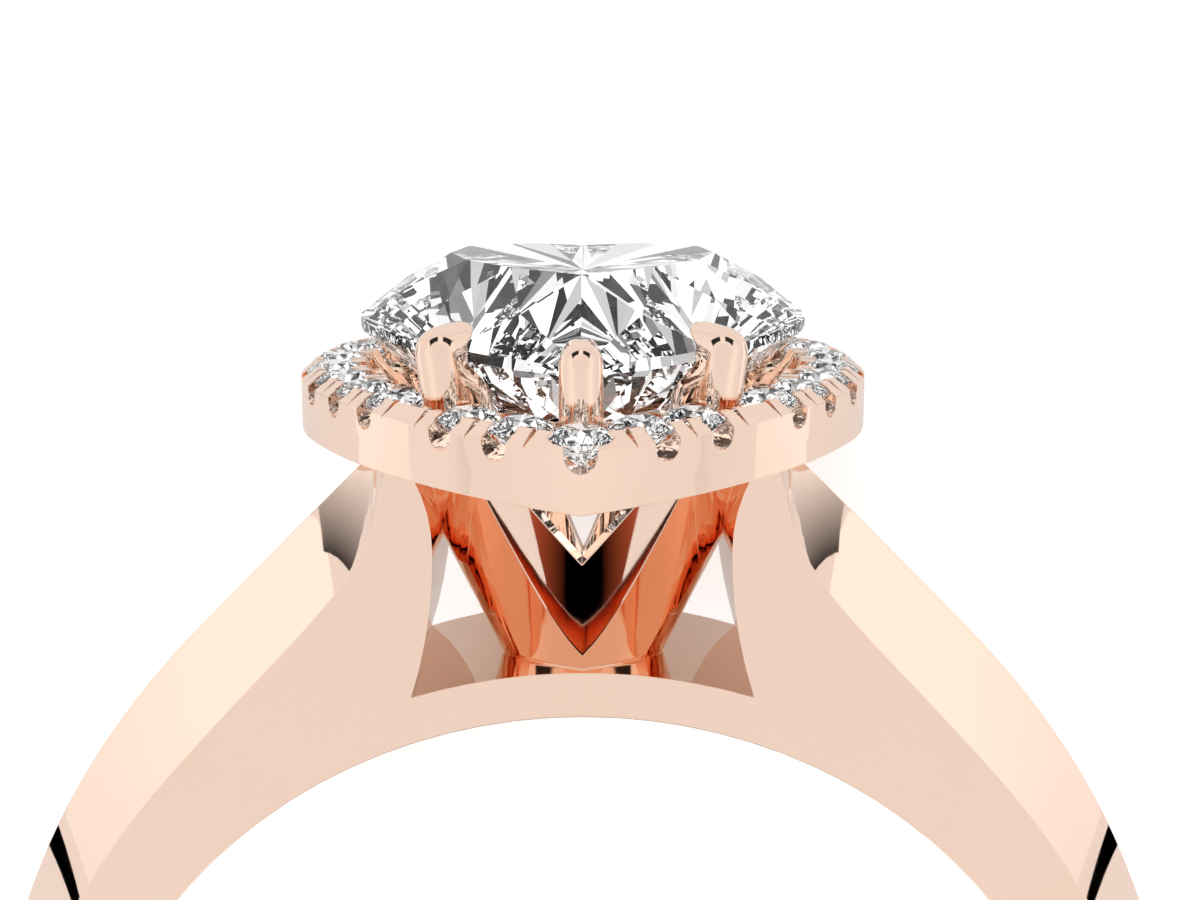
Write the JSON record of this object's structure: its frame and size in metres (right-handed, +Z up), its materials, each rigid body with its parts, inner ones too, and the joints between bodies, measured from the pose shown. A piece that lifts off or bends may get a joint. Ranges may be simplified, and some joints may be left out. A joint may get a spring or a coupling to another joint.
{
  "type": "halo ring",
  "caption": "Ring with a heart-shaped centre stone in claws, a halo of small round stones, an open basket and a knife-edge shank, lying on its back.",
  "frame": {"origin": "centre of the finger bore, midway along the shank's width", "axes": "+Z up as the ring lies on its back, +Y from the bore towards the head, X across the shank"},
  "size_m": [0.0204, 0.0255, 0.0106],
  "materials": {
    "rose_gold": "polished 18 carat rose gold",
    "centre_diamond": "polished, clear, colourless stone",
    "halo_diamond": "polished, clear, colourless stones"
  },
  "bodies": {
    "root": {"mounting": "rose_gold", "centre_stone": "centre_diamond", "halo_stone_01": "halo_diamond", "halo_stone_02": "halo_diamond", "halo_stone_03": "halo_diamond", "halo_stone_04": "halo_diamond", "halo_stone_05": "halo_diamond", "halo_stone_06": "halo_diamond", "halo_stone_07": "halo_diamond", "halo_stone_08": "halo_diamond", "halo_stone_09": "halo_diamond", "halo_stone_10": "halo_diamond", "halo_stone_11": "halo_diamond", "halo_stone_12": "halo_diamond", "halo_stone_13": "halo_diamond", "halo_stone_14": "halo_diamond", "halo_stone_15": "halo_diamond", "halo_stone_16": "halo_diamond", "halo_stone_17": "halo_diamond", "halo_stone_18": "halo_diamond", "halo_stone_19": "halo_diamond", "halo_stone_20": "halo_diamond", "halo_stone_21": "halo_diamond", "halo_stone_22": "halo_diamond", "halo_stone_23": "halo_diamond", "halo_stone_24": "halo_diamond"}
  },
  "joints": []
}
